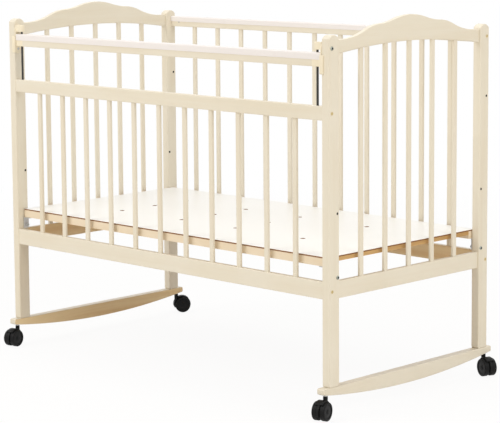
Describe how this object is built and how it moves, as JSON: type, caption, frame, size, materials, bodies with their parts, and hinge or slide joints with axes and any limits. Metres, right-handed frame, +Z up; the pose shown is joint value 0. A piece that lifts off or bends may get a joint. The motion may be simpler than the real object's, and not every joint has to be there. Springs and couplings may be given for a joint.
{
  "type": "crib",
  "caption": "Wooden crib with arched slatted ends, a front bar that slides down two rods, a board base at its low height, bowed runners and twin-wheel casters",
  "frame": {"origin": "on the floor under the middle of the whole box at rest; the bed's own middle is 14 mm towards -X, because the right casters trail outwards", "axes": "+X along the bed to the right end, +Y from the drop side to the back, +Z up"},
  "size_m": [1.2909, 0.7304, 0.9969],
  "materials": {
    "lacquered_wood": "pale cream lacquer, satin",
    "bare_wood": "plain planed wood",
    "rail_cover": "soft pinkish white plastic, smooth",
    "cream_plastic": "moulded cream plastic",
    "black_steel": "black coated steel",
    "zinc_steel": "zinc-plated steel",
    "brown_plastic": "brown plastic cap",
    "white_board": "white faced hardboard, brown edges",
    "black_plastic": "black moulded plastic"
  },
  "bodies": {
    "frame": {"post_front_left": "lacquered_wood", "post_front_right": "lacquered_wood", "post_back_left": "lacquered_wood", "post_back_right": "lacquered_wood", "arch_rail_left": "lacquered_wood", "arch_rail_right": "lacquered_wood", "end_bottom_rail_left": "lacquered_wood", "end_bottom_rail_right": "lacquered_wood", "end_slats_left": "lacquered_wood", "end_slats_right": "lacquered_wood", "runner_left": "lacquered_wood", "runner_right": "lacquered_wood", "back_top_rail": "lacquered_wood", "back_bottom_rail": "lacquered_wood", "back_slats": "lacquered_wood", "front_middle_rail": "lacquered_wood", "front_bottom_rail": "lacquered_wood", "front_slats": "lacquered_wood", "base_rail_front": "bare_wood", "base_rail_back": "bare_wood", "base_end_strips": "bare_wood", "base_cross_bars": "bare_wood", "panel_dowels": "bare_wood", "foot_dowels": "bare_wood", "back_top_rail_cover": "rail_cover", "rod_bracket_left": "cream_plastic", "rod_bracket_right": "cream_plastic", "guide_rod_left": "black_steel", "guide_rod_right": "black_steel", "caster_sockets": "zinc_steel", "caster_stems": "zinc_steel", "base_supports": "zinc_steel", "barrel_nuts": "zinc_steel", "frame_bolts": "zinc_steel", "bracket_screws": "zinc_steel", "support_nuts": "zinc_steel", "bracket_bolts": "black_steel", "support_bolts": "black_steel", "bolt_caps": "brown_plastic", "base_board": "white_board"},
    "drop_side": {"drop_rail": "lacquered_wood", "drop_rail_cover": "rail_cover", "drop_guide_left": "cream_plastic", "drop_guide_right": "cream_plastic"},
    "caster_front_left": {"caster_hood_front_left": "black_plastic"},
    "wheels_front_left": {"caster_wheels_front_left": "black_plastic", "caster_axle_front_left": "zinc_steel"},
    "caster_front_right": {"caster_hood_front_right": "black_plastic"},
    "wheels_front_right": {"caster_wheels_front_right": "black_plastic", "caster_axle_front_right": "zinc_steel"},
    "caster_back_left": {"caster_hood_back_left": "black_plastic"},
    "wheels_back_left": {"caster_wheels_back_left": "black_plastic", "caster_axle_back_left": "zinc_steel"},
    "caster_back_right": {"caster_hood_back_right": "black_plastic"},
    "wheels_back_right": {"caster_wheels_back_right": "black_plastic", "caster_axle_back_right": "zinc_steel"}
  },
  "joints": [
    {"name": "drop_slide", "type": "slide", "parent": "frame", "child": "drop_side", "axis": [0, 0, 1], "range_m": [-0.096, 0.005]},
    {"name": "swivel_front_left", "type": "hinge", "parent": "frame", "child": "caster_front_left", "pos_m": [-0.6265, -0.32, 0.052], "axis": [0, 0, 1], "continuous": true},
    {"name": "roll_front_left", "type": "hinge", "parent": "caster_front_left", "child": "wheels_front_left", "pos_m": [-0.62255, -0.33859, 0.024], "axis": [0.9781, 0.2079, 0], "continuous": true},
    {"name": "swivel_front_right", "type": "hinge", "parent": "frame", "child": "caster_front_right", "pos_m": [0.5985, -0.32, 0.052], "axis": [0, 0, 1], "continuous": true},
    {"name": "roll_front_right", "type": "hinge", "parent": "caster_front_right", "child": "wheels_front_right", "pos_m": [0.60342, -0.33835, 0.024], "axis": [0.9659, 0.2588, 0], "continuous": true},
    {"name": "swivel_back_left", "type": "hinge", "parent": "frame", "child": "caster_back_left", "pos_m": [-0.6265, 0.32, 0.052], "axis": [0, 0, 1], "continuous": true},
    {"name": "roll_back_left", "type": "hinge", "parent": "caster_back_left", "child": "wheels_back_left", "pos_m": [-0.6156, 0.33556, 0.024], "axis": [-0.8192, 0.5736, 0], "continuous": true},
    {"name": "swivel_back_right", "type": "hinge", "parent": "frame", "child": "caster_back_right", "pos_m": [0.5985, 0.32, 0.052], "axis": [0, 0, 1], "continuous": true},
    {"name": "roll_back_right", "type": "hinge", "parent": "caster_back_right", "child": "wheels_back_right", "pos_m": [0.61612, 0.31288, 0.024], "axis": [0.3746, 0.9272, 0], "continuous": true}
  ]
}
